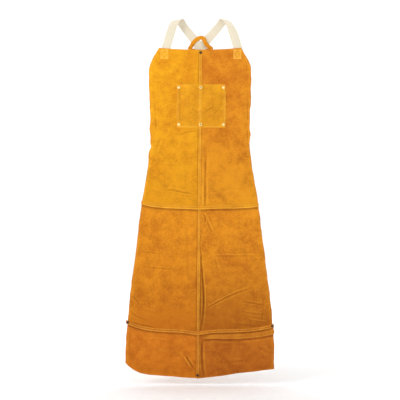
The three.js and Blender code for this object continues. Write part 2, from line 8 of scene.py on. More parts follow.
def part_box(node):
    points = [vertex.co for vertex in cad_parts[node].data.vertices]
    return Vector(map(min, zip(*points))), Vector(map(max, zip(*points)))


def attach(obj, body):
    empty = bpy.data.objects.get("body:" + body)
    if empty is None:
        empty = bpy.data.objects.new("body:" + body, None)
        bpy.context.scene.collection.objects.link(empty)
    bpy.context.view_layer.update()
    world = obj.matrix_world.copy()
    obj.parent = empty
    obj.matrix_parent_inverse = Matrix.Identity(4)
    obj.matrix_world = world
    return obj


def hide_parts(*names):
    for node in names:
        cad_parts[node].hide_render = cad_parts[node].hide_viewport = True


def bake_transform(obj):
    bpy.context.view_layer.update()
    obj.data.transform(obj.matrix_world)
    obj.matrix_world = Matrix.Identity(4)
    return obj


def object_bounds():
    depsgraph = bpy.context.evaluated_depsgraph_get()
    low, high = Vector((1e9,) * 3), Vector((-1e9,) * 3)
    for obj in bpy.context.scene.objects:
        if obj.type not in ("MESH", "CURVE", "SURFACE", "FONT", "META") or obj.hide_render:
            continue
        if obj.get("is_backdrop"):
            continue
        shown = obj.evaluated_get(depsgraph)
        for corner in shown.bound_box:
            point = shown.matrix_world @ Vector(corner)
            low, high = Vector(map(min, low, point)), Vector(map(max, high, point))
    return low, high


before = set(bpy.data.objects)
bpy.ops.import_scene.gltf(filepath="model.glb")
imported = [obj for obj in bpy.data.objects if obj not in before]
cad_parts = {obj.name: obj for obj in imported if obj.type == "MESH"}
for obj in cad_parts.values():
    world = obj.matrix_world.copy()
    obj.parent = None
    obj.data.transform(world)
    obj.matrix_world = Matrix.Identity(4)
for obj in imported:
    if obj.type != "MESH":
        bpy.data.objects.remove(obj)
cad_low, cad_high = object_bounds()


# Studio: a pale floor just under the hem that curves up into a wide wall all round.
# A soft key lamp stands high on the left in front and a weak fill on the right. One lamp hangs
# overhead, one lights the floor behind, and four wash the wall.
FLOOR_Z = cad_low.z - 0.024
FLOOR_RADIUS = 6.4
WALL_CURVE = 2.0
EYE_DISTANCE = 4.102
EYE_Z = -0.665


def mode(name):
    bpy.ops.object.mode_set(mode=name)


def deselect():
    if bpy.context.object and bpy.context.object.mode != "OBJECT":
        mode("OBJECT")
    bpy.ops.object.select_all(action="DESELECT")


deselect()
bpy.ops.mesh.primitive_circle_add(vertices=96, radius=FLOOR_RADIUS, location=(0, 0, FLOOR_Z))
floor = bpy.context.object
floor.name = "studio_floor"
mode("EDIT")
bpy.ops.mesh.select_all(action="SELECT")
bpy.ops.mesh.edge_face_add()
bpy.ops.mesh.select_mode(type="EDGE")
radius = FLOOR_RADIUS
for step in range(1, 9):
    before, after = (pi / 2 * s / 8 for s in (step - 1, step))
    lift = WALL_CURVE * (cos(before) - cos(after))
    wider = radius + WALL_CURVE * (sin(after) - sin(before))
    bpy.ops.mesh.extrude_edges_indiv()
    bpy.ops.transform.resize(value=(wider / radius, wider / radius, 1))
    bpy.ops.transform.translate(value=(0, 0, lift))
    radius = wider
bpy.ops.mesh.extrude_edges_indiv()
bpy.ops.transform.translate(value=(0, 0, 5))
mode("OBJECT")
bpy.ops.object.shade_smooth()
floor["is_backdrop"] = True

PAPER = {
    "Base Color": (0.93, 0.93, 0.93, 1),
    "Roughness": 0.9,
    "Specular IOR Level": 0.1,
    "Emission Color": (0.94, 0.98, 1, 1),
    "Emission Strength": 0.07,
}
paper = bpy.data.materials.new("studio_paper")
paper.use_nodes = True
for socket, value in PAPER.items():
    paper.node_tree.nodes["Principled BSDF"].inputs[socket].default_value = value
floor.data.materials.append(paper)


def show(thing):
    bpy.context.scene.collection.objects.link(thing)


def lamp(name, place, aim, size, power):
    light = bpy.data.objects.new(name, bpy.data.lights.new(name, "AREA"))
    light.data.shape = "RECTANGLE"
    light.data.size, light.data.size_y = size
    light.data.energy = power
    light.location = place
    light.rotation_euler = (Vector(aim) - Vector(place)).to_track_quat("-Z", "Y").to_euler()
    light.visible_camera = False
    show(light)


lamp("key_lamp", (-2.3, -2.2, 0.9), (0, 0, -0.7), (1.1, 1.2), 44)
lamp("top_lamp", (0.3, -0.7, 2.4), (0, 0, -0.6), (2.2, 1.6), 10)
lamp("fill_lamp", (2.2, -2.6, 0.4), (0, 0, -0.6), (1.6, 1.6), 8)
lamp("floor_lamp", (0, 1.1, 0.5), (0, 1.1, -1.4), (4.0, 3.0), 30)
for quarter in range(4):
    turn = pi / 2 * quarter + pi / 4
    out = Vector((sin(turn), cos(turn), 0))
    place, aim = out * 2.2 + Vector((0, 0, 2.6)), out * 8 + Vector((0, 0, -0.6))
    lamp(f"wall_lamp_{quarter}", place, aim, (3, 1.5), 182)

world = bpy.data.worlds.new("studio_light")
world.use_nodes = True
background = world.node_tree.nodes["Background"].inputs
background["Color"].default_value = (0.97, 0.985, 1, 1)
background["Strength"].default_value = 0.1
bpy.context.scene.world = world
bpy.context.scene.view_settings.view_transform = "Standard"

camera = bpy.data.objects.new("camera", bpy.data.cameras.new("camera"))
camera.data.lens = 100
camera.location = (0, -EYE_DISTANCE, EYE_Z)
camera.rotation_euler = (pi / 2, 0, 0)
show(camera)
bpy.context.scene.camera = camera


# Leather panels: six pieces of 2 mm split cowhide, cut with shears, two for the bib, two for the
# skirt and two for the hem. The nap is soft and cloudy. Each panel is painted darker towards its bottom,
# the lower panels are painted darker than the bib, and the right bib and hem panels darker than the left:
# painted shade of the light falling off away from the key lamp high on the left.
LEATHER = 0.002
PANEL_BACK = -0.0203
PANEL_FRONT = PANEL_BACK - LEATHER
GRID = 0.0032
TOP_Z, THIGH_Z, HEM_Z, BOTTOM_Z = -0.113, -0.7, -1.16, -1.32
TOP_HALF = 0.15
SIDE_Z = np.array([-0.106, -0.154, -0.195, -0.458, -0.7, -1.16, -1.32])
SIDE_X = np.array([TOP_HALF, 0.17825, 0.189, 0.183, 0.217, 0.271, 0.271])


def unit(value):
    return np.clip(value, 0, 1)


def bump(x, centre, reach):
    return np.exp(-(((x - centre) / reach) ** 2))


def clouds(x, z, size, seed):
    """Smooth noise from -1 to 1 with lumps about as big as size."""
    u, v = x / size + 31.7 * seed, z / size - 17.3 * seed
    i, j = np.floor(u), np.floor(v)
    u, v = u - i, v - j
    u, v = u * u * (3 - 2 * u), v * v * (3 - 2 * v)

    def corner(a, b):
        return np.modf(np.sin(a * 127.1 + b * 311.7 + seed * 74.7) * 43758.5453)[0]

    low = corner(i, j) * (1 - u) + corner(i + 1, j) * u
    high = corner(i, j + 1) * (1 - u) + corner(i + 1, j + 1) * u
    return low * (1 - v) + high * v


def half_width(z):
    slope = np.gradient(SIDE_X, SIDE_Z)
    slope[1:-1] = (SIDE_X[2:] - SIDE_X[:-2]) / (SIDE_Z[2:] - SIDE_Z[:-2])
    i = np.clip(np.searchsorted(-SIDE_Z, -np.asarray(z, float)) - 1, 0, len(SIDE_Z) - 2)
    span = SIDE_Z[i + 1] - SIDE_Z[i]
    t = unit((z - SIDE_Z[i]) / span)
    rise = t * t * (3 - 2 * t)
    pull = t * (1 - t) ** 2 * slope[i] - t * t * (1 - t) * slope[i + 1]
    return SIDE_X[i] + (SIDE_X[i + 1] - SIDE_X[i]) * rise + span * pull


def side_edge(side, z):
    """The cut edge, with the small waves that shears and hanging leave in it."""
    shears = 0.0011 * clouds(z, 0 * z, 0.016, 3 + side) + 0.0012 * clouds(z, 0 * z, 0.07, 5 + side)
    waist = 0.0042 * bump(z, -0.423, 0.014) + 0.002 * bump(z, -0.3, 0.03)
    if side < 0:
        waist = 0.003 * bump(z, -0.405, 0.02) - 0.0045 * bump(z, -0.47, 0.01) + 0.003 * bump(z, -0.5, 0.02)
    roll = 0.003 * bump(z, -1.147, 0.01) if side > 0 else 0.004 * bump(z, -1.272, 0.01)
    return side * (half_width(z) + shears + waist + roll)


def seam_x(z):
    return 0.0025 - 0.0115 * (TOP_Z - z) / (TOP_Z - BOTTOM_Z)


def top_edge(x):
    return TOP_Z + 0.007 * (x / TOP_HALF) ** 2


def cross_seam(x, z, width, dip, left, right):
    centre = 1 - bump(x, seam_x(z), 0.04)
    return z + dip * centre + np.where(x < 0, left, right) * (2 * x / width) ** 4


def thigh_seam(x):
    return cross_seam(x, THIGH_Z, 0.434, 0.003, 0.017, 0.007)


def hem_seam(x):
    return cross_seam(x, HEM_Z, 0.542, 0.008, 0.034, 0.019)


def bottom_edge(x):
    share = np.abs(x / 0.271)
    wave = 0.0012 * clouds(x, 0 * x, 0.03, 9)
    return BOTTOM_Z + np.where(x < 0, 0.017 * share + 0.037 * share**8, 0.034 * share) + wave


def crease(x, z, start_x, start_z, end_x, end_z, reach, height, bow=0.0):
    """A ridge, or with a negative height a valley, along one line that fades out at its ends."""
    run, rise = end_x - start_x, end_z - start_z
    length = hypot(run, rise)
    t = ((x - start_x) * run + (z - start_z) * rise) / length**2
    across = ((x - start_x) * rise - (z - start_z) * run) / length + bow * (1 - (2 * t - 1) ** 2)
    return height * np.exp(-((across / (0.62 * reach)) ** 2) - (2 * t - 1) ** 6)


def creased(x, z, lines):
    """All the creases of a table in tenths of a millimetre: start, end, reach, height and bow."""
    return sum(crease(x, z, *(value / 10000 for value in line)) for line in lines)


CREASES = [
    # bib: the soft fold beside the centre seam, the puckers at the waist and the sag lines
    (210, -4900, 190, -6900, 70, -34),
    (100, -4700, 100, -6900, 50, 14),
    (-1460, -4360, -1680, -4820, 40, -24),
    (-1360, -4400, -1600, -4920, 45, 16),
    (-1530, -4620, -1660, -5000, 35, -14),
    (1760, -2900, 1750, -4700, 50, -22),
    (1660, -3850, 1780, -4300, 60, -16),
    (-920, -4340, -140, -4120, 35, -14, 50),
    (-1200, -6260, -280, -6420, 40, -26),
    (-1160, -6150, -400, -6300, 50, 12),
    (-1350, -5360, -860, -5380, 60, -14),
    (400, -6400, 1500, -6300, 100, 14),
    (-1680, -3000, -1600, -4100, 60, -10),
    (1100, -3100, 1650, -2700, 80, -10),
    (1100, -4500, 1600, -5600, 120, 14),
    # skirt: crumpled right below the thigh seam, then long sag lines
    (80, -7120, 220, -7060, 35, -16),
    (130, -7160, 170, -7480, 42, -28, 40),
    (260, -7240, 500, -7780, 36, 15),
    (220, -7380, 420, -7840, 36, -11),
    (60, -7900, 80, -8720, 34, -22, -80),
    (580, -8640, 2060, -8630, 30, 14),
    (620, -8720, 2000, -8710, 40, -10),
    (520, -8800, 680, -9250, 34, -14),
    (700, -8800, 840, -9120, 30, -10),
    (320, -10580, 1720, -9940, 34, -30, 40),
    (400, -10460, 1760, -9840, 50, 12, 40),
    (-360, -10060, -160, -9980, 30, -22),
    (-2050, -9120, -950, -9200, 34, -14),
    (-2150, -8550, -1400, -8620, 50, -8),
    (-500, -7600, -400, -10000, 120, -14),
    (-2350, -10600, -1500, -10850, 100, -12),
    (1600, -10400, 2350, -10520, 45, -18, 30),
    (1500, -10720, 2400, -10860, 55, -17, -30),
    (1780, -11000, 2460, -11100, 42, 16),
    (1100, -11180, 2000, -11280, 52, -16),
    (-2520, -10150, -2220, -10520, 50, -13, 30),
    (-2560, -10720, -2000, -11040, 60, -15, -40),
    (-2620, -11120, -1650, -11340, 60, -18),
    (2360, -10200, 2250, -11100, 60, -12),
    (1800, -10600, 2450, -10400, 60, -12),
    # hem: the fold that falls beside the centre seam
    (80, -11860, 140, -13100, 75, -46, -40),
    (-500, -12400, -260, -12800, 55, -34),
    (-600, -12360, -360, -12800, 50, 14),
    (-1500, -12150, -600, -12260, 120, 16),
    (600, -12620, 1800, -12540, 90, -16),
    (2140, -12060, 2620, -12300, 100, -14),
    (-2100, -11700, -1200, -11760, 60, 12),
]


def pleat_line(z):
    """How far to the right of the centre seam the skirt's loose fold stands, and how strong it is there."""
    share = unit((z + 0.862) / -0.292)
    return 0.0085 + 0.0115 * np.sin(np.pi * share**1.4), np.sin(np.pi * share) ** 0.6


def roll(x, z):
    """The right half of the hem is rolled up once, tight under its seam."""
    size = 0.008 + 0.0035 * unit(x / 0.1)
    up = (z - hem_seam(x) + 0.0025 + size) / size
    start = unit((x - 0.004) / 0.03)
    hill = np.sqrt(unit(1 - up * up))
    under = 0.0026 * bump(z, hem_seam(x) - 0.006 - 2 * size, 0.004)
    return np.where(z < hem_seam(x) + 0.001, start * (0.0062 * hill - under), 0)


def within(value, low, high, soft):
    """1 between low and high, falling to 0 over the soft distance outside them."""
    return unit((value - low) / soft + 1) * unit((high - value) / soft + 1)


def relief(x, z):
    """How far the leather stands forward of the flat apron."""
    x, z = np.broadcast_arrays(np.asarray(x, float), np.asarray(z, float))
    wander = 0.0014 * clouds(x, z, 0.022, 38)
    height = creased(x, z + wander, CREASES)
    height = height * (1 + 0.35 * clouds(x, z, 0.045, 37))
    offset, strength = pleat_line(z)
    right = x - seam_x(z)
    height -= 0.0044 * strength * bump(right, offset, 0.003)
    height += 0.0007 * strength * bump(right, offset + 0.0055, 0.0034)
    height -= 0.002 * strength * bump(right, 0.0078, 0.002)
    height += roll(x, z)
    for seam, lift in ((thigh_seam, 0.0012), (hem_seam, 0.0016)):
        above = z - seam(x)
        height += lift * bump(above, 0.006, 0.011) - 0.0016 * bump(above, -0.004, 0.005)
        height += 0.0009 * bump(above, 0.0, 0.024) * clouds(x, z * 0.4, 0.013, 4)
    height += 0.0007 * bump(right, 0, 0.022) * clouds(x * 0.5, z, 0.014, 6)
    inward = half_width(z) - np.abs(x)
    curl = unit(1 - inward / 0.011) ** 2
    waist = bump(z, -0.46, 0.22)
    height -= curl * (0.0022 + 0.0022 * waist) * np.where(x > 0, 1.15, 0.85)
    calm = np.clip((TOP_Z - 0.035 - z) / 0.05, 0.25, 1)
    height += calm * (0.0013 * clouds(x, z, 0.11, 1) + 0.0009 * clouds(x, z, 0.045, 2))
    height += 0.0003 * clouds(x, z, 0.018, 7)
    flare = unit((THIGH_Z - z) / 0.6)
    height += 0.0032 * flare * np.sin(x * 21 + 0.9)
    sewn = within(np.abs(x), 0.106, 0.156, 0.01) * within(z, -0.146, -0.1, 0.012)
    tab = within(np.abs(x), 0.116, 0.18, 0.018) * within(z, -0.456, -0.374, 0.03)
    height = height * (1 - 0.8 * sewn) + 0.0016 * tab
    return np.clip(height, -0.0085 * (1 - np.maximum(sewn, tab)), 0.0095)


def bulge(surface, x, z, reach):
    """How far a surface stands above its surroundings at that reach."""
    around = ((reach, 0), (-reach, 0), (0, reach), (0, -reach))
    return surface(x, z) - sum(surface(x + a, z + b) for a, b in around) / 4


def ridges(x, z):
    """Above 0 where the leather bulges, below 0 where it is pressed in."""
    return np.clip(bulge(relief, x, z, 0.0045) / 0.0011, -1, 1)


def grid_object(name, points, cut, tones, closed=False):
    """A mesh through rows of points, with its place on the uncut hide as a UV map and tones as attributes."""
    rows, columns = points.shape[:2]
    index = np.arange(rows * columns).reshape(rows, columns)
    if closed:
        index = np.concatenate([index, index[:, :1]], axis=1)
    quads = np.stack([index[:-1, :-1], index[1:, :-1], index[1:, 1:], index[:-1, 1:]], -1).reshape(-1, 4)
    faces = quads.tolist()
    if closed:
        half = columns // 2
        for ring, forward in ((index[0], True), (index[-1], False)):
            for k in range(half - 1):
                cap = [ring[k], ring[k + 1], ring[columns - 2 - k], ring[columns - 1 - k]]
                faces.append([int(v) for v in (cap if forward else cap[::-1])])
    mesh = bpy.data.meshes.new(name)
    mesh.from_pydata(points.reshape(-1, 3).tolist(), [], faces)
    layer = mesh.uv_layers.new(name="cut")
    corners = np.zeros(len(mesh.loops), int)
    mesh.loops.foreach_get("vertex_index", corners)
    layer.data.foreach_set("uv", cut.reshape(-1, 2)[corners].astype(np.float32).ravel())
    for tone, values in tones.items():
        attribute = mesh.attributes.new(tone, "FLOAT", "POINT")
        attribute.data.foreach_set("value", np.asarray(values, np.float32).ravel())
    piece = bpy.data.objects.new(name, mesh)
    show(piece)
    return piece


def activate(piece):
    deselect()
    piece.select_set(True)
    bpy.context.view_layer.objects.active = piece


def smooth(piece, angle=38):
    activate(piece)
    bpy.ops.object.shade_smooth_by_angle(angle=radians(angle))


def thicken(piece, thickness):
    activate(piece)
    solid = piece.modifiers.new("leather", "SOLIDIFY")
    solid.thickness = thickness
    solid.offset = -1
    bpy.ops.object.modifier_apply(modifier=solid.name)
    smooth(piece)


def panel(name, side, upper, lower):
    """One panel between two edge curves, the centre seam and the side of the apron."""
    tall = abs(upper(0.0) - lower(0.0))
    rows = int(tall / GRID) + 1
    columns = int(half_width((upper(0.0) + lower(0.0)) / 2) / GRID) + 1
    down = np.linspace(0, 1, rows)[:, None] * np.ones(columns)
    across = np.linspace(0, 1, columns)[None, :] * np.ones((rows, 1))
    x = side * across * 0.2
    for _ in range(8):
        z = upper(x) * (1 - down) + lower(x) * down
        inner, outer = seam_x(z) + side * 0.0001, side_edge(side, z)
        x = inner * (1 - across) + outer * across
    forward = relief(x, z)
    points = np.stack([x, PANEL_FRONT - forward, z], -1)
    cut = np.stack([x, z], -1)
    free = np.abs(outer - x)
    if upper is top_edge:
        free = np.minimum(free, np.abs(upper(x) - z))
    if lower is bottom_edge:
        free = np.minimum(free, np.abs(lower(x) - z))
    # Painted shade: this tone darkens the leather along the two lapped cross seams, in a line left of the
    # centre strip and along the skirt's loose fold.
    seams = np.minimum(np.abs(z - thigh_seam(x) + 0.002), np.abs(z - hem_seam(x) + 0.002))
    beside = x - seam_x(z)
    tuck = np.exp(-seams / 0.0042) + 0.8 * bump(beside, -0.0062, 0.0014)
    offset, strength = pleat_line(z)
    pleat = 0.4 * within(beside, 0.007, offset, 0.002) + 0.7 * bump(beside, offset, 0.0022)
    tuck = tuck + strength * pleat
    from_middle = np.abs(x - np.where(x < 0, 0.001, 0.004))
    patch = within(from_middle, 0.1195, 0.1455, 0.0015) * within(z, -0.1465, -0.1125, 0.0015)
    rim = 0.5 * np.exp(-free / 0.003) + 1.2 * patch
    tones = {"ridge": ridges(x, z), "rim": rim, "tuck": np.clip(tuck, 0, 1.2)}
    if side > 0:
        points, cut = points[:, ::-1], cut[:, ::-1]
        tones = {tone: values[:, ::-1] for tone, values in tones.items()}
    piece = grid_object(name, points[::-1], cut[::-1], {t: v[::-1] for t, v in tones.items()})
    thicken(piece, LEATHER)
    return piece


def paint(code):
    """A colour as it looks, #rrggbb, as the shader's linear value."""
    parts = [int(code[i : i + 2], 16) / 255 for i in (1, 3, 5)]
    return [p / 12.92 if p <= 0.04045 else ((p + 0.055) / 1.055) ** 2.4 for p in parts] + [1]


class Reading:
    """The output of a shader node, worked with in plain arithmetic."""

    def __init__(self, finish, socket):
        self.finish = finish
        self.socket = socket

    def maths(self, operation, first, second=0.0):
        return self.finish.node("Math", {"operation": operation}, {0: first, 1: second})

    def __add__(self, other):
        return self.maths("ADD", self, other)

    def __sub__(self, other):
        return self.maths("SUBTRACT", self, other)

    def __rsub__(self, other):
        return self.maths("SUBTRACT", other, self)

    def __mul__(self, other):
        return self.maths("MULTIPLY", self, other)

    def __pow__(self, other):
        return self.maths("POWER", self, other)

    __radd__ = __add__
    __rmul__ = __mul__

    def kept(self):
        """Held between 0 and 1."""
        return self.finish.node("Clamp", {}, {0: self})


class Finish:
    """A material and the nodes that make it."""

    def __init__(self, name, **constant):
        self.material = bpy.data.materials.new(name)
        self.material.use_nodes = True
        self.tree = self.material.node_tree
        self.shader = self.tree.nodes["Principled BSDF"]
        for socket, value in constant.items():
            self.shader.inputs[socket.replace("_", " ")].default_value = value

    def node(self, kind, settings, values, output=0):
        made = self.tree.nodes.new("ShaderNode" + kind)
        for setting, value in settings.items():
            setattr(made, setting, value)
        for socket, value in values.items():
            self.feed(made.inputs[socket], value)
        return Reading(self, made.outputs[output])

    def feed(self, socket, value):
        if isinstance(value, Reading):
            self.tree.links.new(value.socket, socket)
        else:
            socket.default_value = value

    def ribs(self, place, axis, spacing):
        """A wave between -1 and 1 along one axis of a place."""
        along = self.node("SeparateXYZ", {}, {0: place}, axis)
        return self.node("Math", {"operation": "SINE"}, {0: along * (2 * pi / spacing)})

    def mix(self, share, first, second, how="MIX"):
        settings = {"data_type": "RGBA", "blend_type": how}
        return self.node("Mix", settings, {0: share, 6: first, 7: second}, 2)

    def noise(self, place, scale, detail=3.0, rough=0.55):
        values = {"Vector": place, "Scale": scale, "Detail": detail, "Roughness": rough}
        return self.node("TexNoise", {}, values)

    def tone(self, name):
        return self.node("Attribute", {"attribute_name": name}, {}, 2)

    def cut(self):
        return self.node("UVMap", {"uv_map": "cut"}, {})

    def place(self):
        return self.node("TexCoord", {}, {}, 3)

    def surface(self, colour, roughness, height, depth):
        self.feed(self.shader.inputs["Base Color"], colour)
        self.feed(self.shader.inputs["Roughness"], roughness)
        normal = self.node("Bump", {}, {"Strength": 1.0, "Distance": depth, "Height": height})
        self.feed(self.shader.inputs["Normal"], normal)
        return self.material


def suede(name, light, dark, bright="#FFC23A", deep="#7A3C0A", lower=None, heights=(0, -1)):
    """Split leather: cloudy dye, a short nap, paler where rubbed at its edges, with painted highlight on its
    ridges, painted shade in its folds and under its seams, and, given a lower colour, painted shade towards
    its bottom.
    """
    leather = Finish(name, Sheen_Weight=0.06, Sheen_Roughness=0.5, Sheen_Tint=(1, 0.8, 0.45, 1))
    leather.shader.inputs["Specular IOR Level"].default_value = 0.12
    cut = leather.cut()
    patches = leather.noise(cut, 7.5, 2.0)
    mottle = leather.noise(cut, 34.0, 4.0, 0.6)
    nap = leather.noise(cut, 260.0, 3.0, 0.65)
    blots = leather.noise(cut, 15.0, 3.0, 0.6)
    fleck = leather.noise(cut, 110.0, 4.0, 0.7)
    share = (patches - 0.5) * 1.0 + (blots - 0.5) * 0.9 + (mottle - 0.5) * 1.4 + (nap - 0.5) * 2.0 + 0.5
    share = share + (fleck - 0.5) * 1.2
    dye_and_falloff_shade = leather.mix(share.kept(), paint(dark), paint(light))
    # Painted shade: down its height the piece is painted towards the lower colour, and towards the deep
    # colour in its darker patches, standing in for light falling off downwards.
    if lower:
        height = leather.node("SeparateXYZ", {}, {0: cut}, 1)
        down = ((height - heights[0]) * (1 / (heights[1] - heights[0])) + (patches - 0.5) * 0.5).kept()
        painted_falloff_shade = leather.mix(down * down, dye_and_falloff_shade, paint(lower))
        dye_and_falloff_shade = leather.mix(((0.54 - share) * 0.7).kept() * down, painted_falloff_shade, paint(deep))
    # Painted highlight on the ridges of the relief and painted shade in its creases.
    ridge = leather.tone("ridge") + (mottle - 0.5) * 0.5
    painted_ridge_highlight = leather.mix((ridge * 0.3).kept(), dye_and_falloff_shade, paint(bright))
    painted_crease_shade = leather.mix((ridge * -0.5).kept(), painted_ridge_highlight, paint(deep))
    # Painted shade under the lapped seams, beside the centre strip and along the skirt's loose fold.
    painted_seam_shade = leather.mix((leather.tone("tuck") * 0.66).kept(), painted_crease_shade, paint(deep))
    rim = (leather.tone("rim") * (0.35 + mottle * 0.5)).kept()
    smudge = ((0.43 - fleck) * 5.0).kept() * ((0.54 - mottle) * 7.0).kept()
    marked = leather.mix(smudge * 0.08, painted_seam_shade, paint(deep))
    edged = leather.mix(rim * 0.5, marked, paint(bright))
    colour = leather.mix(1.0, edged, (0.94, 0.92, 0.98, 1), "MULTIPLY")
    roughness = 0.74 + nap * 0.22
    return leather.surface(colour, roughness, nap * 0.5 + mottle * 0.8, 0.0011)


def below(seam):
    return lambda x: seam(x) - 0.0004


FOLD_Y = -0.0235
THIGH_FOLD = ((0, FOLD_Y, -0.688), (0, FOLD_Y, -0.719))
HEM_FOLD = ((0, FOLD_Y, -1.157), (0, FOLD_Y, -1.176))
AT_THIGH = ("apron", "skirt", *THIGH_FOLD)
AT_HEM = ("skirt", "hem", *HEM_FOLD)
# Columns: side, upper edge, lower edge, slot, light and dark dye, and the colour the bottom is painted
# towards. These colours carry painted shade: lighter on the left and at the top, darker to the right and
# below.
PANELS = {
    "bib_left_panel": (-1, top_edge, thigh_seam, "bib_leather", "#E8A818", "#D08012", "#D99216"),
    "bib_right_panel": (1, top_edge, thigh_seam, "bib_leather", "#DA8E1E", "#BC6614", "#DC921C"),
    "skirt_left_panel": (-1, below(thigh_seam), hem_seam, "skirt_leather", "#E0921C", "#BE6E14", "#BE6C14"),
    "skirt_right_panel": (1, below(thigh_seam), hem_seam, "skirt_leather", "#E2941E", "#BE6E16", "#A45A12"),
    "hem_left_panel": (-1, below(hem_seam), bottom_edge, "hem_leather", "#D67E1E", "#B86414", "#C46E14"),
    "hem_right_panel": (1, below(hem_seam), bottom_edge, "hem_leather", "#C4721E", "#A25412", "#AC5C14"),
}
for node, (side, upper, lower, slot, light, dark, low) in PANELS.items():
    piece = panel(node.replace("_panel", "_leather"), side, upper, lower)
    heights = (float(upper(0.0)), float(lower(0.0)))
    hide = suede(node.replace("_panel", "_suede"), light, dark, lower=low, heights=heights)
    piece.data.materials.append(hide)
    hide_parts(node)
    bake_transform(piece)


# Seam strips and lap bands: the centre seam and the two cross seams are felled, so that a folded
# strip of leather stands up from the panels. The fold's crest is painted a lighter yellow, a painted
# highlight, and its edges darker, painted shade.
STRIP_WIDTH = 0.011
BAND_WIDTH = 0.014
FELL = 0.0021


def ridge_profile(t):
    """A felled centre seam: two low ridges with the join between them."""
    rounded = unit(1 - np.abs(2 * t - 1) ** 4) ** 0.6
    return rounded * (0.5 + 0.26 * np.abs(np.cos(2 * np.pi * t)) - 0.24 * bump(t, 0.5, 0.1))


def lap_profile(t):
    """A lapped cross seam: a thick rolled lower edge that thins out upwards into the panel."""
    return unit(1 - unit(1 - t / 0.12) ** 2) ** 0.5 * (1.25 - 1.12 * t**0.8)


def face_outwards(piece):
    """Turns every face of a closed piece to the outside."""
    activate(piece)
    mode("EDIT")
    bpy.ops.mesh.select_all(action="SELECT")
    bpy.ops.mesh.normals_make_consistent(inside=False)
    mode("OBJECT")


def felled(name, along, place, profile):
    """A felled strip. place(a, t) gives x and z at share a along and t across, from the lower left."""
    t = np.linspace(0, 1, 15)
    a, across = along[:, None] * np.ones(len(t)), np.ones((len(along), 1)) * t
    x, z = place(a, across)
    stand = profile(across) * FELL * (1 + 0.16 * clouds(x, z, 0.014, 11))
    front = PANEL_FRONT - 0.00012 - relief(x, z) - stand
    back = np.minimum(PANEL_FRONT - 0.00006 - relief(x, z), front + 0.004)
    points = np.concatenate([np.stack([x, front, z], -1), np.stack([x, back, z], -1)[:, ::-1]], axis=1)
    cut = np.concatenate([np.stack([x, z], -1), np.stack([x, z + 0.02], -1)[:, ::-1]], axis=1)
    # Painted highlight along the crest of each fold, painted shade along its edges and in the join between
    # its ridges.
    if profile is lap_profile:
        painted_crest_light = 1.25 * bump(across, 0.13, 0.13) - 0.3 * bump(across, 0.6, 0.1)
        shade = 1.1 * bump(across, -0.02, 0.07)
    else:
        painted_crest_light = 0.55 * bump(np.abs(across - 0.5), 0.25, 0.12) - 0.02
        shade = 0.5 * bump(across, 0.0, 0.08) + 0.12 * bump(across, 1.0, 0.06)
        shade = shade + 0.2 * bump(across, 0.5, 0.06)
    painted_crest_light = np.clip(painted_crest_light + 0.35 * ridges(x, z) + 0.25 * clouds(x, z, 0.02, 27), -1, 1)
    tones = {"ridge": painted_crest_light, "rim": painted_crest_light * 0, "tuck": shade}
    tones = {tone: np.concatenate([value, value[:, ::-1]], axis=1) for tone, value in tones.items()}
    piece = grid_object(name, points, cut, tones, closed=True)
    face_outwards(piece)
    smooth(piece, 60)
    return piece


def down_seam(top, bottom):
    def place(a, t):
        z = top + (bottom - top) * a
        wander = 0.0005 * clouds(z, 0 * z, 0.03, 13)
        return seam_x(z) + wander + (t - 0.5) * STRIP_WIDTH * (1 + 0.07 * clouds(z, 0 * z, 0.02, 15)), z

    return place


def across_seam(seam, half):
    def place(a, t):
        x = -half + (half + half) * a
        wander = 0.0004 * clouds(x, 0 * x, 0.025, 17)
        return x, seam(x) - 0.0008 + wander + t * BAND_WIDTH * (1 + 0.06 * clouds(x, 0 * x, 0.02, 19))

    return place


# The hem band and strip are painted darker, and the skirt strip is painted darker towards its bottom: painted
# shade of light falling off downwards, as on the panels.
band_suede = suede("seam_suede", "#E29C1C", "#CA8016", "#FFC53C", "#7A3C0A")
skirt_strip_suede = suede(
    "skirt_seam_suede", "#DE941C", "#C27416", "#F6B636", "#743A0A", "#B87018", (-0.8, -1.18)
)
hem_band_suede = suede("hem_seam_suede", "#CC7A1A", "#A86014", "#F2AC34", "#642E08")
STITCH_ROWS = (0.24, 0.76)
THIGH_STOP = float(thigh_seam(np.array(-0.009))) + BAND_WIDTH - 0.001
HEM_STOP = float(hem_seam(np.array(-0.016))) + BAND_WIDTH - 0.001
bib_seam = down_seam(TOP_Z - 0.0006, THIGH_STOP)
skirt_seam = down_seam(THIGH_Z - 0.001, HEM_STOP)
lower_seam = down_seam(HEM_Z - 0.001, BOTTOM_Z)
seams = {
    "bib_centre_strip": (bib_seam, 0.575, band_suede, None),
    "skirt_centre_strip": (skirt_seam, 0.445, skirt_strip_suede, AT_THIGH),
    "hem_centre_strip": (lower_seam, 0.158, hem_band_suede, AT_HEM),
    "thigh_seam_band": (across_seam(thigh_seam, 0.2155), 0.43, band_suede, AT_THIGH),
    "hem_seam_band": (across_seam(hem_seam, 0.2715), 0.541, hem_band_suede, AT_HEM),
}
for node, (place, length, finish, joined) in seams.items():
    width = BAND_WIDTH if "band" in node else STRIP_WIDTH
    profile = lap_profile if "band" in node else ridge_profile
    piece = felled(node + "_fold", np.linspace(0, 1, int(length / 0.0025)), place, profile)
    piece.data.materials.append(finish)
    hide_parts(node)
    if joined:
        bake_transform(piece)
    else:
        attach(piece, "apron")


# Thread: two rows of heavy yellow thread, a stitch every 4 mm, hold each seam through both leathers,
# and show again on the back. Each strap end is sewn on with a box and a cross.
THREAD = 0.00042
STITCH = 0.0039


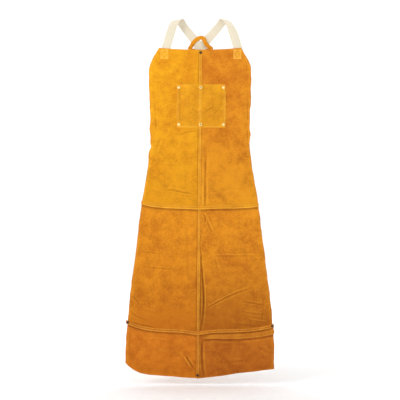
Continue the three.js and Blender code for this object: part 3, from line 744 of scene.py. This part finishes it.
def capsule():
    """One stitch lying along x, six-sided, with few faces because there are so many of them."""
    rings = [(-0.5, 0.45), (-0.36, 0.95), (0.0, 1.08), (0.36, 0.95), (0.5, 0.45)]
    points, faces = [], [[5, 4, 3, 2, 1, 0], [24, 25, 26, 27, 28, 29]]
    for share, thick in rings:
        for k in range(6):
            y, z = THREAD * thick * cos(k * pi / 3), THREAD * thick * sin(k * pi / 3)
            points.append((share, y, z))
    for low in range(0, 24, 6):
        for k in range(6):
            after = (k + 1) % 6
            faces.insert(-2, [low + k, low + after, low + 6 + after, low + 6 + k])
    return np.array(points), faces


thread_rng = np.random.default_rng(12)


def travelled(points):
    """The distance along a line of points, from its start to each of them."""
    steps = np.linalg.norm(np.diff(points, axis=0), axis=1)
    return np.concatenate([[0], np.cumsum(steps)])


def sew(name, runs, material, body, spacing=STITCH):
    """Stitches along each run of points, as one piece of thread."""
    shape, faces = capsule()
    points, everything, cut = [], [], []
    for run in runs:
        run = np.asarray(run, float)
        reach = travelled(run)
        count = max(int(round(reach[-1] / spacing)), 1)
        for k in range(count):
            middle, gap = (k + 0.5) * reach[-1] / count, 0.4 * spacing
            ends = [[np.interp(middle + d, reach, run[:, c]) for c in range(3)] for d in (-gap, gap)]
            start, end = np.array(ends)
            along = end - start
            length = np.linalg.norm(along)
            along = along / length
            up = np.cross(along, [0, 1, 0])
            up = up / np.linalg.norm(up)
            tilt = thread_rng.normal(0, 0.05)
            lengthwise = along * cos(tilt) + up * sin(tilt)
            sideways = up * cos(tilt) - along * sin(tilt)
            local = shape * [length * thread_rng.uniform(0.92, 1.06), 1, 1]
            base = len(points) * len(shape)
            points.append((start + end) / 2 + local @ np.stack([lengthwise, [0, 1, 0], sideways]))
            everything += [[base + v for v in face] for face in faces]
    mesh = bpy.data.meshes.new(name)
    mesh.from_pydata(np.concatenate(points).tolist(), [], everything)
    mesh.materials.append(material)
    piece = bpy.data.objects.new(name, mesh)
    show(piece)
    face_outwards(piece)
    bpy.ops.object.shade_smooth()
    if len(body) == 1:
        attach(piece, body[0])
    else:
        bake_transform(piece)
    return piece


def thread_finish(name, light, dark):
    thread = Finish(name, Sheen_Weight=0.15)
    place = thread.place()
    fuzz = thread.noise(place, 900.0, 2.0)
    return thread.surface(thread.mix(fuzz, paint(dark), paint(light)), 0.55 + fuzz * 0.3, fuzz, 0.0002)


yellow_thread = thread_finish("yellow_thread", "#F8CE5E", "#D99A26")


def seam_rows(place, samples, profile):
    """The stitch rows of a felled strip, at the front and again at the back."""
    front, back = [], []
    for row in STITCH_ROWS:
        x, z = place(np.linspace(0.004, 0.996, samples), np.full(samples, row))
        stand = profile(np.array(row)) * FELL
        front.append(np.stack([x, PANEL_FRONT - 0.0002 - relief(x, z) - stand, z], -1))
        back.append(np.stack([x, PANEL_BACK - relief(x, z) + 0.00018, z], -1))
    return front, back


for node, (place, length, finish, joined) in seams.items():
    profile = lap_profile if "band" in node else ridge_profile
    front, back = seam_rows(place, int(length / 0.002), profile)
    sew(node + "_thread", front + back, yellow_thread, joined or ("apron",))


# Pocket: one sheet of the bib leather, riveted at its corners and sewn down both sides and along the
# bottom. It is left open at the top and stands a little off the bib, and the centre seam parts it in two.
POCKET_X, POCKET_TOP, POCKET_BOTTOM = 0.004, -0.241, -0.399
POCKET_HALF = 0.089
POCKET_TALL = 0.158
POCKET_BACK = PANEL_FRONT - 0.0003
POCKET_CREASES = [
    (-300, -3300, -80, -3450, 40, -13),
    (120, -3450, 500, -3220, 50, -12),
    (500, -3500, 780, -3220, 40, -10),
    (-450, -3600, -200, -3450, 50, 9),
]


def pocket_stand(x, z):
    """How far the pocket stands off the bib."""
    across = np.abs(x - POCKET_X)
    up = unit((z - POCKET_BOTTOM - 0.012) / (POCKET_TOP - POCKET_BOTTOM - 0.012))
    share = unit((across - 0.007) / 0.07)
    crown = 0.0052 * np.sin(np.pi * share) * up**0.7
    over_seam = 0.0024 * bump(x, seam_x(z), 0.0095)
    rumple = 0.0007 * clouds(x, z, 0.03, 21) * unit(up * 3) * np.sin(np.pi * share)
    lines = creased(x, z, POCKET_CREASES)
    return np.maximum(crown + rumple + lines, 0.0001) + over_seam


def pocket_place(a, b):
    waver = 0.001 * clouds(b * 0.16, 0 * b, 0.03, 23)
    x = POCKET_X + a * POCKET_HALF + np.where(a < -0.99, waver, 0) + 0.0012 * a * np.sin(np.pi * b)
    top = POCKET_TOP + 0.0008 * clouds(x, 0 * x, 0.03, 25) - 0.0012 * np.sin(np.pi * np.abs(a)) ** 2
    return x, top + (POCKET_BOTTOM - top) * b


a = np.linspace(-1, 1, 91)[None, :] * np.ones((81, 1))
b = np.linspace(0, 1, 81)[:, None] * np.ones((1, 91))
x, z = pocket_place(a, b)
forward = relief(x, z) + pocket_stand(x, z)
near = np.minimum((1 - np.abs(a)) * POCKET_HALF, np.minimum(1 - b, b) * POCKET_TALL)


def pocket_ridge(x, z):
    return np.clip(bulge(pocket_stand, x, z, 0.004) / 0.0009 + 0.6 * ridges(x, z), -1, 1)


points = np.stack([x, POCKET_BACK - LEATHER - forward, z], -1)
# Painted highlight where the pocket bulges out and along the centre seam under it, painted shade where it
# dips in; its edges are paler where rubbed.
tones = {"ridge": pocket_ridge(x, z), "rim": np.exp(-near / 0.003) * 1.3, "tuck": near * 0}
tones["ridge"] = np.clip(tones["ridge"] + 0.5 * bump(x, seam_x(z) + 0.001, 0.007), -1, 1)
pocket = grid_object("pocket_leather", points, np.stack([x + 0.5, z], -1), tones)
thicken(pocket, LEATHER)
pocket.data.materials.append(suede("pocket_suede", "#E4A01C", "#C47E14"))
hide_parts("pocket_panel")
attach(pocket, "apron")

inset = 0.0045
side_z = np.linspace(POCKET_TOP - 0.004, POCKET_BOTTOM + inset, 90)
base_x = np.linspace(POCKET_X - POCKET_HALF + inset, POCKET_X + POCKET_HALF - inset, 100)
pocket_runs = [(np.full(90, POCKET_X + s * (POCKET_HALF - inset)), side_z) for s in (-1, 1)]
pocket_runs.append((base_x, np.full(100, POCKET_BOTTOM + inset)))
pocket_runs += [(seam_x(side_z) + s * 0.0032, side_z) for s in (-1, 1)]
runs = []
for x, z in pocket_runs:
    front = POCKET_BACK - LEATHER - 0.0001 - relief(x, z) - pocket_stand(x, z)
    runs.append(np.stack([x, front, z], -1))
sew("pocket_thread", runs, yellow_thread, ("apron",))


# Rivets: pressed brass caps about 10 mm across with a rolled rim, each on a shank that goes through
# the leather and is turned over a flat ring at the back.
CAP_RADIUS = 0.0052
CAP_RISE = 0.0022


def select_where(piece, test):
    """Selects, in edit mode, the faces whose middle passes the test."""
    mode("OBJECT")
    for face in piece.data.polygons:
        face.select = bool(test(face))
    for vertex in piece.data.vertices:
        vertex.select = False
    for edge in piece.data.edges:
        edge.select = False
    mode("EDIT")
    bpy.ops.mesh.select_mode(type="FACE")


def turned(name, radius, depth):
    """A disc facing the front, in edit mode, with its face towards the front selected."""
    deselect()
    upright = (pi / 2, 0, 0)
    bpy.ops.mesh.primitive_cylinder_add(vertices=28, radius=radius, depth=depth, rotation=upright)
    piece = bpy.context.object
    piece.name = name
    bpy.ops.object.transform_apply(location=True, rotation=True, scale=True)
    select_where(piece, lambda face: face.normal.y < -0.9)
    return piece


def stepped(steps):
    """Insets the selected face by each width and moves the face inside it by each depth."""
    for width, depth in steps:
        bpy.ops.mesh.inset(thickness=width)
        bpy.ops.transform.translate(value=(0, depth, 0))


def rivet_cap():
    cap = turned("rivet_cap", CAP_RADIUS, 0.0007)
    stepped(((0.0007, 0), (0.0002, 0.0003), (0.0009, -0.0009), (0.0011, -0.0005), (0.0012, -0.00025)))
    select_where(cap, lambda face: face.normal.y > 0.9)
    bpy.ops.mesh.inset(thickness=CAP_RADIUS - 0.002)
    bpy.ops.mesh.extrude_region_move(TRANSFORM_OT_translate={"value": (0, 0.003, 0)})
    mode("OBJECT")
    smooth(cap, 50)
    return cap


def rivet_ring():
    ring = turned("rivet_ring", 0.0046, 0.001)
    select_where(ring, lambda face: face.normal.y > 0.9)
    stepped(((0.0021, 0.0003), (0.0005, -0.0004)))
    mode("OBJECT")
    smooth(ring, 40)
    return ring


def metal(name, light, dark, roughness):
    brass = Finish(name, Metallic=0.75)
    place = brass.place()
    tarnish = brass.noise(place, 260.0, 4.0, 0.6)
    scratch = brass.noise(place, 2400.0, 2.0, 0.6)
    colour = brass.mix(((tarnish - 0.42) * 2.6).kept(), paint(dark), paint(light))
    return brass.surface(colour, tarnish * 0.22 + roughness, scratch, 0.00012)


pale_brass = metal("pale_brass", "#FFF6C4", "#EAD084", 0.2)
dark_brass = metal("dark_brass", "#6E5A3A", "#3A2C1C", 0.26)
ring_steel = metal("ring_steel", "#D8D0BC", "#9A8F78", 0.24)
cap_form, ring_form = rivet_cap(), rivet_ring()
DARK_RIVETS = ("hem_bottom", "hem_seam_left", "hem_seam_right", "bib_top")
for node in sorted(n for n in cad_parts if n.endswith("_rivet")):
    low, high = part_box(node)
    x, z = (low.x + high.x) / 2, (low.z + high.z) / 2
    stand = relief(x, z) + (pocket_stand(x, z) if node.startswith("pocket") else 0)
    hollow_face = node.startswith("pocket") and "centre" in node
    under = low.y + CAP_RISE + 0.0003 - float(stand) + (0.0019 if hollow_face else 0)
    behind = PANEL_BACK + 0.0008 - float(relief(x, z))
    body = "hem" if node.startswith("hem_bottom") else "skirt" if node.startswith("hem") else "apron"
    for form, name, y in ((cap_form, node, under), (ring_form, node + "_ring", behind)):
        piece = bpy.data.objects.new(name.replace("_rivet", "_stud"), form.data.copy())
        show(piece)
        piece.data.transform(Matrix.Translation((x, y, z)))
        brass = dark_brass if node.startswith(DARK_RIVETS) else pale_brass
        piece.data.materials.append(ring_steel if form is ring_form else brass)
        # The middle of these caps is painted dark brass: painted shade of a hollow that the cap does not
        # have.
        if hollow_face and form is cap_form:
            piece.data.materials.append(dark_brass)
            for face in piece.data.polygons:
                face.material_index = int(hypot(face.center.x - x, face.center.z - z) < 0.0024)
        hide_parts(name)
        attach(piece, body)
bpy.data.objects.remove(cap_form)
bpy.data.objects.remove(ring_form)


# Shoulder straps: 32 mm cotton webbing, unbleached, 2 mm thick. Each is sewn behind a top corner of
# the bib, folds over the bar, crosses the other one and ends in the buckle of the other side.
WEBBING = 0.002
WEBBING_WIDTH = 0.032
BAR_RADIUS = 0.018
LAYER = 0.00125
CROSSING = Vector((0.002, 0, -0.103))
BUCKLE = Vector((0.112, -0.0105, -0.34))
BACK_SLOPE = 0.100932
STRAP_ANGLE = atan2(BUCKLE.x, CROSSING.z - BUCKLE.z)


def back_y(z):
    return 0.019 + BACK_SLOPE * (z + 0.018)


def buckle_frame(side):
    place = Matrix.Translation((side * BUCKLE.x, BUCKLE.y, BUCKLE.z))
    return place @ Matrix.Rotation(-side * STRAP_ANGLE, 4, "Y")


def eased(stops, step=0.003):
    """A smooth line through stops of (point, width direction), resampled evenly."""
    line = np.array([[*p, *w] for p, w in stops], float)
    gaps = np.sqrt(np.linalg.norm(np.diff(line[:, :3], axis=0), axis=1))
    knots = np.concatenate([[0], np.cumsum(gaps)])
    slopes = np.gradient(line, knots, axis=0)
    fine = np.linspace(0, knots[-1], 60 * len(stops))
    i = np.clip(np.searchsorted(knots, fine, side="right") - 1, 0, len(knots) - 2)
    h = (knots[i + 1] - knots[i])[:, None]
    t = ((fine - knots[i]) / h[:, 0])[:, None]
    rise = t * t * (3 - 2 * t)
    curve = line[i] + (line[i + 1] - line[i]) * rise + t * (1 - t) ** 2 * h * slopes[i]
    curve = curve - t * t * (1 - t) * h * slopes[i + 1]
    reach = travelled(curve[:, :3])
    even = np.linspace(0, reach[-1], max(int(reach[-1] / step), 2))
    return np.stack([np.interp(even, reach, curve[:, c]) for c in range(6)], -1)


def ribbon(name, line, width, thickness, waver=0.0, dished=0.0):
    """A flat strip swept along a line of points and width directions, with softly rounded edges."""
    points, across = line[:, :3], line[:, 3:]
    tangent = np.gradient(points, axis=0)
    tangent = tangent / np.linalg.norm(tangent, axis=1)[:, None]
    across = across - tangent * (across * tangent).sum(1)[:, None]
    across = across / np.linalg.norm(across, axis=1)[:, None]
    face = np.cross(tangent, across)
    reach = travelled(points)
    t = np.linspace(-1, 1, 13)
    half = width / 2 * (1 + waver * clouds(reach, 0 * reach, 0.02, 31))
    drift = waver * width * 0.6 * clouds(reach, 0 * reach, 0.06, 33)
    thin = thickness / 2 * unit(1 - np.abs(t) ** 8) ** 0.5 + thickness * 0.06
    rows = []
    for side, shares in ((1, t), (-1, t[::-1])):
        depth = side * (thin if side > 0 else thin[::-1])
        sideways = shares[None, :, None] * half[:, None, None] + drift[:, None, None]
        body = points[:, None] + across[:, None] * sideways
        dish = dished * (1 - shares**2)
        rows.append(body + face[:, None] * (depth + dish)[None, :, None])
    u = np.concatenate([t, t[::-1] + 3]) * width / 2
    cut = np.stack(np.broadcast_arrays(u[None, :], reach[:, None]), -1)
    edge = np.abs(np.concatenate([t, t[::-1]])) ** 10
    rim = np.ones((len(points), 1)) * edge
    tones = {"rim": rim, "ridge": rim * 0, "tuck": rim * 0}
    piece = grid_object(name, np.concatenate(rows, axis=1), cut, tones, closed=True)
    face_outwards(piece)
    smooth(piece, 50)
    return piece


def strap_line(side):
    inset, lean_by, shift = {-1: (0.027, 0.024, 0.037), 1: (0.012, 0.026, 0.041)}[side]
    front_x = TOP_HALF - inset - lean_by
    back_x = front_x - shift
    lean = atan2(lean_by, -CROSSING.z - BAR_RADIUS)
    back_lean = atan2(back_x - side * CROSSING.x, -BAR_RADIUS - CROSSING.z)
    layer = LAYER * side

    def across(angle, behind=0):
        return Vector((side * cos(angle), -BACK_SLOPE * sin(angle) * behind, -sin(angle)))

    stops = []
    for z in (-0.142, -0.113, -0.084, -0.054, -0.03):
        x = front_x + tan(lean) * (-BAR_RADIUS - z)
        stops.append((Vector((side * x, -0.019, z)), across(-lean)))
    for k in range(9):
        t = k / 8
        x = front_x + (back_x - front_x) * t
        y, z = -0.019 * cos(pi * t), -0.018 + 0.019 * sin(pi * t)
        width = across(-lean) * (1 - t) + across(back_lean, 1) * t
        width.z *= abs(cos(pi * t))
        stops.append((Vector((side * x, y, z)), width))

    def on_back(distance):
        z = CROSSING.z + cos(back_lean) * distance
        x = CROSSING.x + side * sin(back_lean) * distance
        return Vector((x, back_y(z) + layer, z))

    frame_matrix = buckle_frame(-side)
    load = -0.003
    crossing = on_back(0)
    lowest = frame_matrix @ Vector((0, load, 0.016)) + Vector((0, layer, 0))
    stops += [(on_back(d), across(back_lean, 1)) for d in (0.06, 0.028)]
    stops += [(crossing.lerp(lowest, s), across(STRAP_ANGLE, 1)) for s in (0.12, 0.5, 0.94)]
    loaded = across(STRAP_ANGLE)
    stops += [(frame_matrix @ Vector((0, load, h)), loaded) for h in (0.008, 0.003)]
    for k in range(7):
        t = k / 6
        place = Vector((0, load * cos(pi * t), load * sin(pi * t)))
        stops.append((frame_matrix @ place, loaded))
    stops += [(frame_matrix @ Vector((0, -load, h)), loaded) for h in (0.009, 0.018)]
    for k in range(7):
        angle = pi * k / 6
        away, up = -load + 0.007 * (1 - cos(angle)), 0.024 + 0.007 * sin(angle)
        stops.append((frame_matrix @ Vector((0, away, up)), loaded))
    hang = frame_matrix @ Vector((0, 0.017, -0.038))
    hang.y = BUCKLE.y + 0.017
    down = Vector((side, 0, 0))
    stops.append((frame_matrix @ Vector((0, 0.017, 0)), loaded))
    for out, drop in ((0, 0), (0.008, 0.04), (0.01, 0.1), (0.01, 0.174)):
        stops.append((hang + Vector((-side * out, 0, -drop)), down))
    return eased(stops)


def webbing_finish(name):
    """Plain-woven cotton: fine ribs across the tape, a yarn every 1.3 mm, and a slightly stained edge."""
    cotton = Finish(name, Sheen_Weight=0.25, Sheen_Roughness=0.45)
    cut = cotton.cut()
    warp, weft = (cotton.ribs(cut, axis, spacing) for axis, spacing in ((0, 0.0026), (1, 0.003)))
    weave = (warp * weft * 0.25) + (weft * 0.25) + 0.5
    soil = cotton.noise(cut, 26.0, 3.0)
    lint = cotton.noise(cut, 700.0, 2.0)
    base = cotton.mix(weave * 0.45 + lint * 0.35, paint("#CCC1A6"), paint("#E8E0D0"))
    stained = cotton.mix(((soil - 0.45) * 1.4).kept() * 0.45, base, paint("#E9D7B4"))
    colour = cotton.mix((cotton.tone("rim") * 0.4).kept(), stained, paint("#D9C39A"))
    return cotton.surface(colour, 0.8 + lint * 0.15, weave + lint * 0.4, 0.0005)


def round_fold(strap, peak, reach, drop):
    """Let the outer corner of the fold sink, as used webbing does over a bar."""
    place = np.empty(len(strap.data.vertices) * 3)
    strap.data.vertices.foreach_get("co", place)
    place = place.reshape(-1, 3)
    outward = np.clip((np.abs(place[:, 0]) - peak) / reach, 0, 1.1)
    inward = unit((peak - 0.002 - np.abs(place[:, 0])) / 0.024)
    near = unit((place[:, 2] + 0.062) / 0.062)
    inward = inward * inward * (3 - 2 * inward)
    place[:, 2] -= (drop * outward**2 + 0.005 * inward) * near * near * (3 - 2 * near)
    strap.data.vertices.foreach_set("co", place.ravel())
    strap.data.update()


cotton = webbing_finish("cotton_webbing")
for side, name, far in ((-1, "left", "right"), (1, "right", "left")):
    strap = ribbon(f"strap_{name}", strap_line(side), WEBBING_WIDTH, WEBBING, waver=0.012)
    strap.data.materials.append(cotton)
    round_fold(strap, *{-1: (0.072, 0.036, 0.009), 1: (0.086, 0.032, 0.015)}[side])
    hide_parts(f"shoulder_strap_{name}")
    start = Vector((CROSSING.x, back_y(CROSSING.z), CROSSING.z))
    end = buckle_frame(-side) @ Vector((0, -0.003, 0.036))
    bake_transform(strap)


def box_and_cross(middle, half, depth, top, bottom, lift):
    """A sewn box with a cross in it, as runs of points."""
    corners = ((-1, top), (1, top), (1, bottom), (-1, bottom))
    a, b, c, d = (Vector((middle + s * half, depth, z)) for s, z in corners)
    legs = [(a, b), (b, c), (c, d), (d, a), (a, c), (b, d)]
    return [np.stack([lift(p.lerp(q, s)) for s in np.linspace(0, 1, 24)]) for p, q in legs]


bright_thread = thread_finish("bright_thread", "#FFDF6E", "#F0B83A")
SHORT_STITCH = 0.003


def on_bib(p):
    return [p.x, PANEL_FRONT - float(relief(p.x, p.z)) - 0.00022, p.z]


for side, inset, name in ((-1, 0.0195, "left"), (1, 0.0125, "right")):
    middle = side * (TOP_HALF - inset)
    runs = []
    for shrink in (0, 0.0022):
        half, top, bottom = 0.0135 - shrink, -0.1135 - shrink, -0.1455 + shrink
        runs += box_and_cross(middle, half, 0, top, bottom, on_bib)
    behind = [run + np.array([0, 0.0044, 0]) for run in runs[:6]]
    sew(f"strap_{name}_thread", runs + behind, bright_thread, ("apron",), SHORT_STITCH)


# Keeper: a narrow strip of leather, sewn into a loop, that arches over the crossing of the straps
# and holds them together. It is stiffer than the webbing and stands up by itself.
def keeper_line():
    """Round the back, up and over the arch in front, and round to lap over its own start."""
    front, back = -0.0022 - LAYER, 0.0022 + LAYER
    low = -0.008
    arch = [
        (-0.036, 0.003, -0.85), (-0.0285, 0.016, -0.98), (-0.018, 0.0285, -0.78),
        (-0.005, 0.037, -0.42), (0.0055, 0.0385, 0.3), (0.013, 0.033, 1.0),
        (0.0165, 0.022, 1.15), (0.0245, 0.01, 0.88), (0.035, 0.0015, 0.85),
    ]
    middle, lapped = (front + back) / 2, back + 0.0019
    route = [(0.012, lapped, low, 0), (-0.016, lapped - 0.0004, low, 0), (-0.035, back, low, -0.2)]
    route.append((-0.0415, middle, low + 0.003, -0.6))
    route += [(x, front, rise, lean) for x, rise, lean in arch]
    route += [(0.0415, middle, low + 0.003, 0.6), (0.035, back, low, 0.2)]
    route += [(0.016, back, low, 0), (-0.012, back, low, 0)]
    stops = []
    for x, depth, rise, lean in route:
        z = CROSSING.z + rise
        width = Vector((sin(lean), BACK_SLOPE * cos(lean), cos(lean)))
        stops.append((Vector((CROSSING.x + x, back_y(z) + depth, z)), width))
    return eased(stops, 0.0016)


keeper = ribbon("keeper_strip", keeper_line(), 0.015, 0.0018, waver=0.04, dished=0.0008)
keeper.data.materials.append(suede("keeper_suede", "#E39A20", "#C87C14", "#F2AC30", "#6E3608"))
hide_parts("keeper_loop")
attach(keeper, "keeper")


# Waist tabs: a short piece of the same webbing, doubled round the bar of each buckle and sewn flat to
# the back of the bib at the waist.
TAB_BAR_Z = -0.054
TAB_TO_BIB = 0.0098
for side, name in ((-1, "left"), (1, "right")):
    place = buckle_frame(side)
    width = (place.to_3x3() @ Vector((1, 0, 0))).normalized()
    near, second, wrap = 0.0015 - TAB_TO_BIB - 0.0002, 0.0038 - TAB_TO_BIB - 0.0002, 0.003
    bar, end = TAB_BAR_Z, TAB_BAR_Z - 0.062
    route = [(near, end), (near, bar - 0.034), (near, bar - 0.024)]
    route += [(-wrap - 0.0009, bar - 0.009), (-wrap, bar - 0.003)]
    for k in range(9):
        angle = pi * k / 8
        route.append((-wrap * cos(angle), bar + wrap * sin(angle)))
    route += [(wrap, bar - 0.003), (wrap - 0.0006, bar - 0.008), (second + 0.0006, bar - 0.027)]
    route += [(second, bar - 0.032), (second, end + 0.008)]
    line = eased([(place @ Vector((0, y, z)), width) for y, z in route], 0.0022)
    tab = ribbon(f"tab_{name}", line, WEBBING_WIDTH, WEBBING, waver=0.01)
    tab.data.materials.append(cotton)
    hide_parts(f"waist_tab_{name}")
    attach(tab, "apron")
    runs = box_and_cross(0, 0.0125, second + 0.00115, bar - 0.034, end + 0.01, lambda p: list(place @ p))
    sew(f"tab_{name}_thread", runs, yellow_thread, ("apron",))


# Buckles: black moulded nylon, a housing and a clip with two springy prongs. Every corner is rounded
# by the mould, and the faces are lightly spark-textured.
def moulded(node, name, round_by):
    """A rounded copy of one moulded piece."""
    piece = bpy.data.objects.new(name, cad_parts[node].data.copy())
    show(piece)
    piece.data.materials.clear()
    activate(piece)
    mode("EDIT")
    bpy.ops.mesh.select_all(action="SELECT")
    bpy.ops.mesh.remove_doubles(threshold=0.00001)
    bpy.ops.mesh.normals_make_consistent(inside=False)
    bpy.ops.mesh.dissolve_limited(angle_limit=radians(2))
    mode("OBJECT")
    rounding = piece.modifiers.new("mould", "BEVEL")
    rounding.width = round_by
    rounding.segments = 3
    rounding.limit_method = "ANGLE"
    rounding.angle_limit = radians(40)
    bpy.ops.object.modifier_apply(modifier=rounding.name)
    smooth(piece, 40)
    return piece


nylon = Finish("black_nylon", Coat_Weight=0.0)
place = nylon.place()
spark = nylon.noise(place, 2600.0, 3.0, 0.6)
haze = nylon.noise(place, 90.0, 2.0)
black = nylon.mix(haze, paint("#141414"), paint("#262523"))
black_nylon = nylon.surface(black, 0.36 + haze * 0.2, spark, 0.00008)
BUCKLE_PIECES = {
    "housing": "apron",
    "clip": "clip_{}",
    "prong_{}_inner": "prong_{}_inner",
    "prong_{}_outer": "prong_{}_outer",
}
for name in ("left", "right"):
    for part, body in BUCKLE_PIECES.items():
        node = "buckle_" + part.format(name) if "prong" in part else f"buckle_{part}_{name}"
        piece = moulded(node, node.replace("buckle_", "moulded_"), 0.0005)
        piece.data.materials.append(black_nylon)
        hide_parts(node)
        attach(piece, body.format(name))

low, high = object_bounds()
